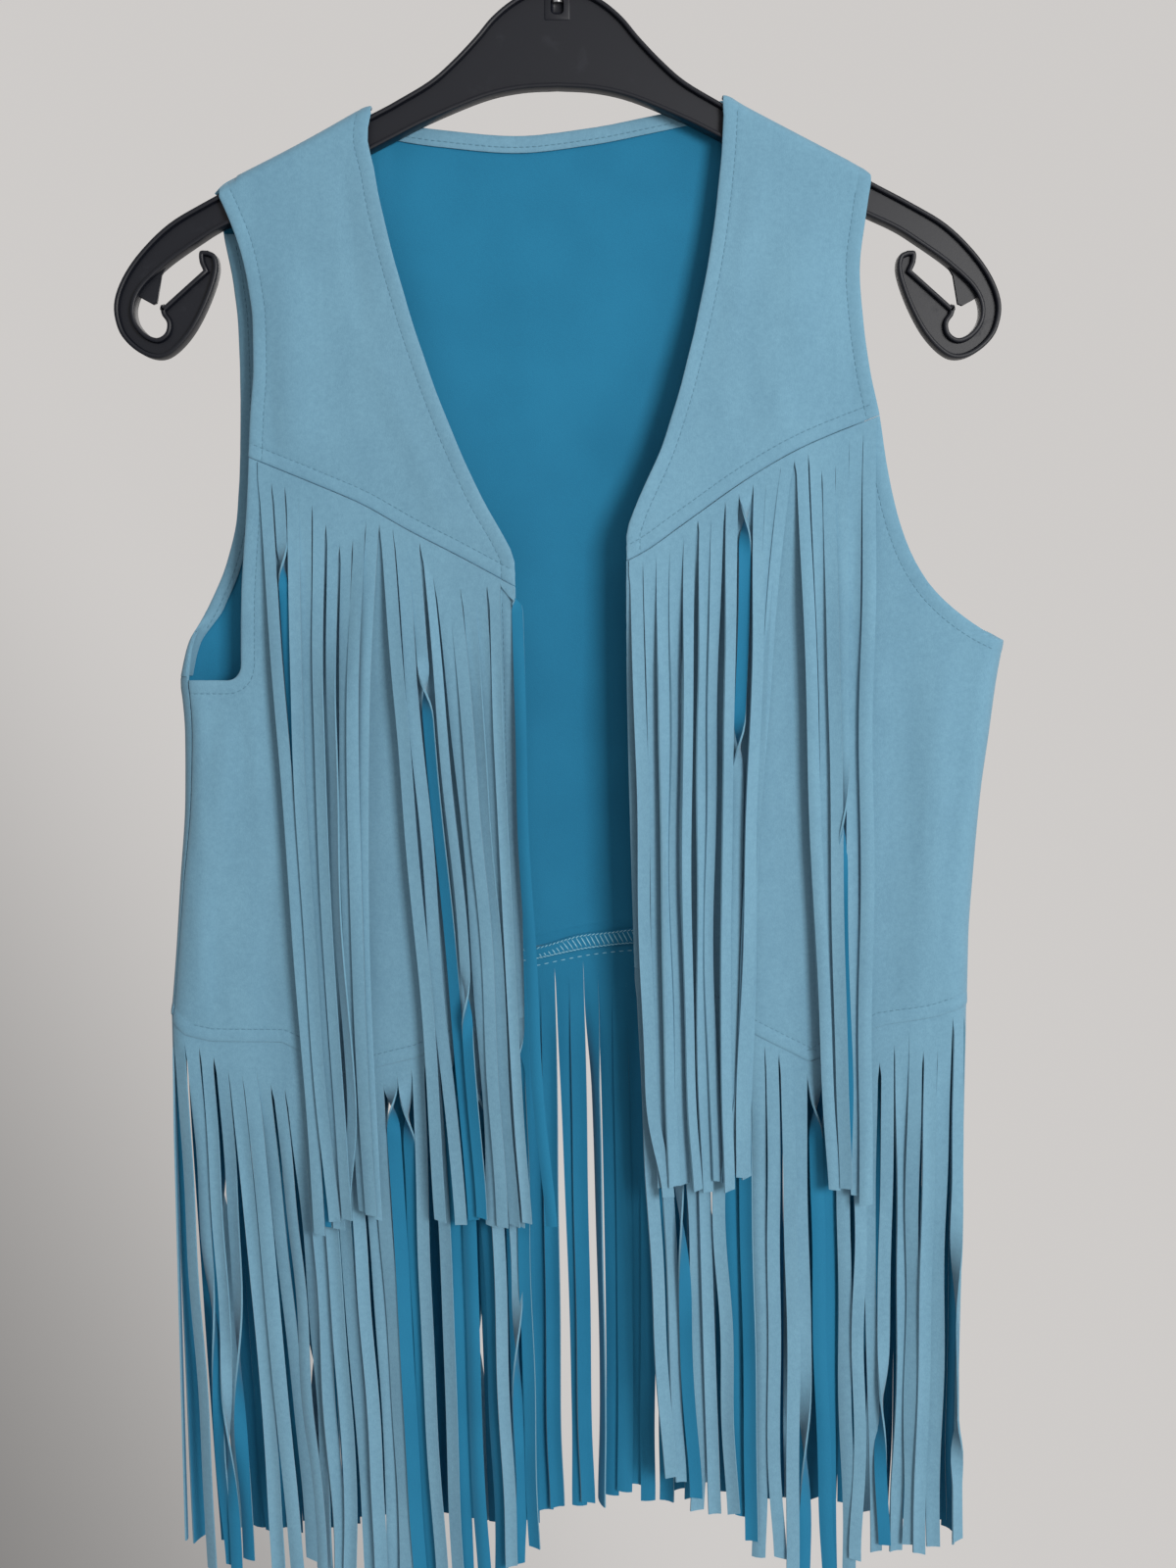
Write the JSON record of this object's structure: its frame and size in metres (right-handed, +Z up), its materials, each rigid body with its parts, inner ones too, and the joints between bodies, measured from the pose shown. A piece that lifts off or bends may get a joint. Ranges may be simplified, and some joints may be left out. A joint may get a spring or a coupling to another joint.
{
  "type": "fringed vest on a clothes hanger",
  "caption": "Open-front sleeveless vest of suede-faced cloth with yoke and hem fringe, hung flat on a moulded clothes hanger with a wire hook.",
  "frame": {"origin": "inner top of the wire hook, where a rail carries it", "axes": "+Z up, +X to the viewer's right across the shoulders, -Y out of the vest's front"},
  "size_m": [0.4229, 0.0401, 0.8491],
  "materials": {
    "hanger_plastic": "fine moulded satin",
    "hook_wire": "bright plated wire",
    "suede_front": "brushed suede face over a teal reverse",
    "suede_back": "brushed suede face over a teal reverse",
    "suede_turning": "brushed suede face, turned in and stitched",
    "suede_fringe": "brushed suede face over a teal reverse, cut edges",
    "suede_fringe_back": "brushed suede face over a teal reverse, cut edges"
  },
  "bodies": {
    "root": {"hanger": "hanger_plastic", "wire_hook": "hook_wire", "back": "suede_back", "back_neck_turning": "suede_turning", "yoke_left": "suede_front", "lower_front_left": "suede_front", "armhole_turning_left": "suede_turning", "yoke_fringe_left": "suede_fringe", "hem_fringe_left": "suede_fringe", "yoke_right": "suede_front", "lower_front_right": "suede_front", "armhole_turning_right": "suede_turning", "yoke_fringe_right": "suede_fringe", "hem_fringe_right": "suede_fringe", "hem_fringe_back": "suede_fringe_back"}
  },
  "joints": []
}
